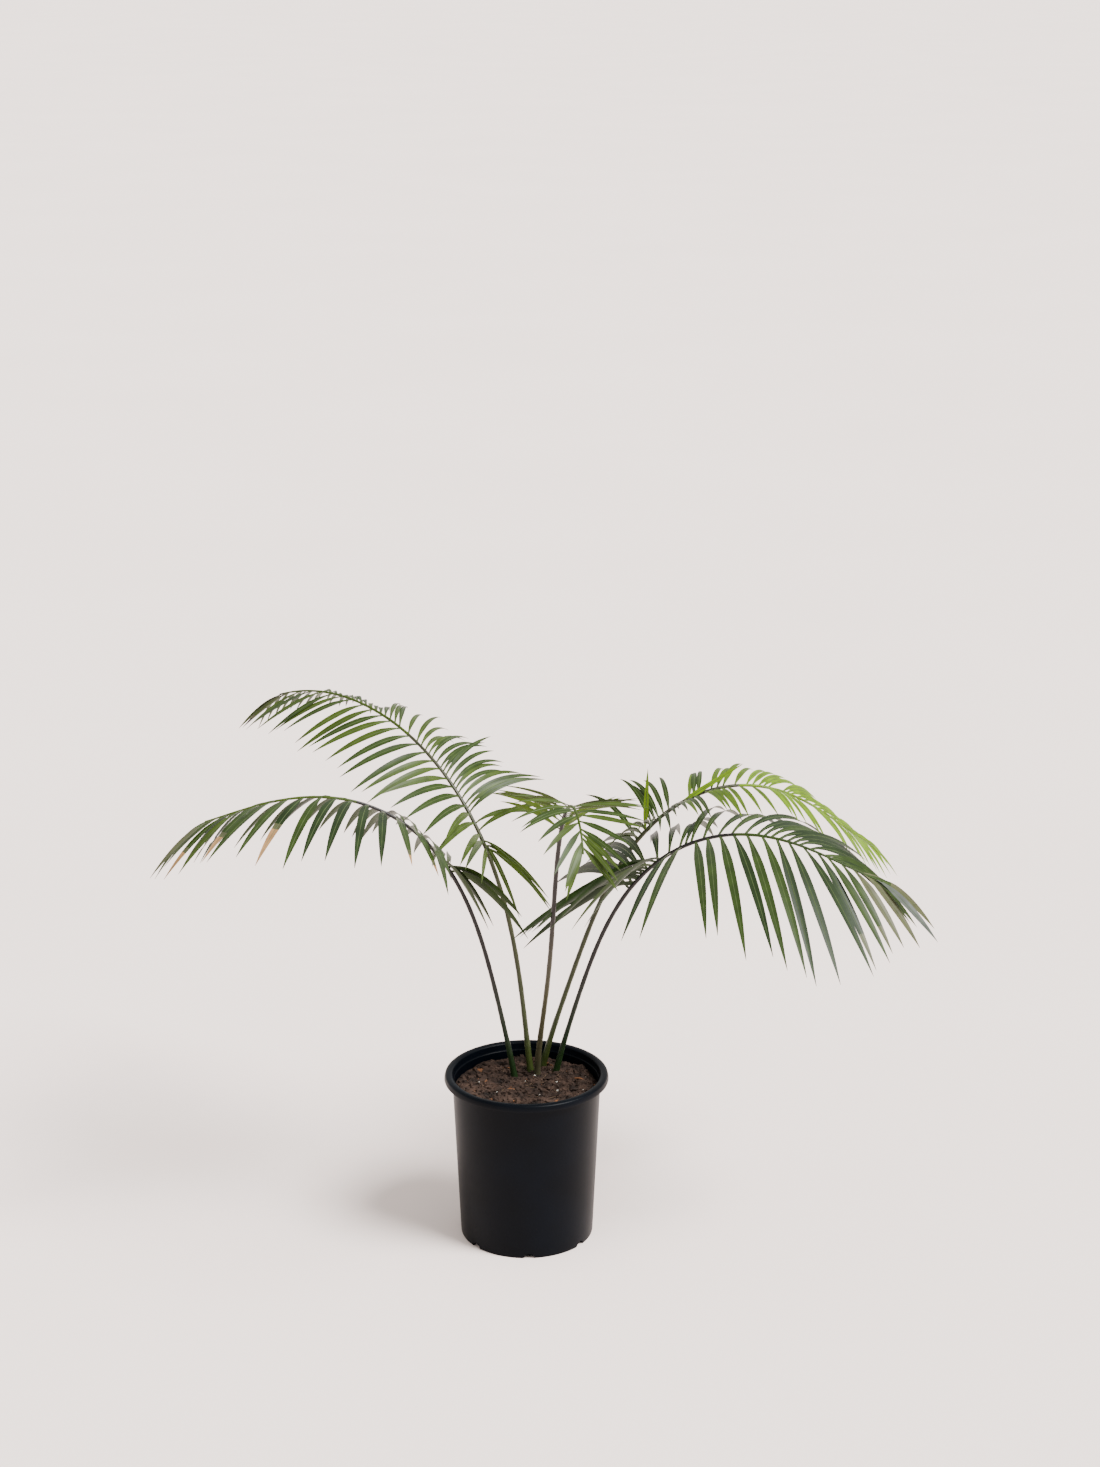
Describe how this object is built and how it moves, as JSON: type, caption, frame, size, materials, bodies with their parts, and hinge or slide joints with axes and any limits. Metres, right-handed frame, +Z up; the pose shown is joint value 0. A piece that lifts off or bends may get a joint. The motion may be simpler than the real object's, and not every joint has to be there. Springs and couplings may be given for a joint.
{
  "type": "potted cycad",
  "caption": "Potted cycad with arching feather-like fronds of narrow leaflets on slender bare stalks, in a tapered round nursery pot filled with potting mix.",
  "frame": {"origin": "centre of the pot's flat underside", "axes": "+Z up along the pot's axis, +X towards the low frond that reaches furthest right, +Y to the back"},
  "size_m": [0.9473, 0.627, 0.6413],
  "materials": {
    "black_plastic": "satin black moulded plastic",
    "potting_mix": "rough damp brown potting mix",
    "stalk_olive": "smooth olive green stalk",
    "stalk_dark": "smooth brown-black stalk",
    "leaf_dark_green": "leathery dark green leaflets",
    "leaf_mid_green": "leathery mid green leaflets",
    "leaf_lime_green": "young lime green leaflets"
  },
  "bodies": {
    "root": {"pot": "black_plastic", "soil": "potting_mix", "petiole_right_low": "stalk_dark", "frond_right_low_inner": "leaf_dark_green", "frond_right_low_outer": "leaf_dark_green", "petiole_left_low": "stalk_dark", "frond_left_low_inner": "leaf_dark_green", "frond_left_low_outer": "leaf_dark_green", "petiole_middle": "stalk_olive", "frond_middle_inner": "leaf_mid_green", "frond_middle_outer": "leaf_mid_green", "petiole_left_high": "stalk_olive", "frond_left_high_inner": "leaf_dark_green", "frond_left_high_outer": "leaf_dark_green", "petiole_right_high": "stalk_olive", "frond_right_high_inner": "leaf_lime_green", "frond_right_high_outer": "leaf_lime_green"}
  },
  "joints": []
}
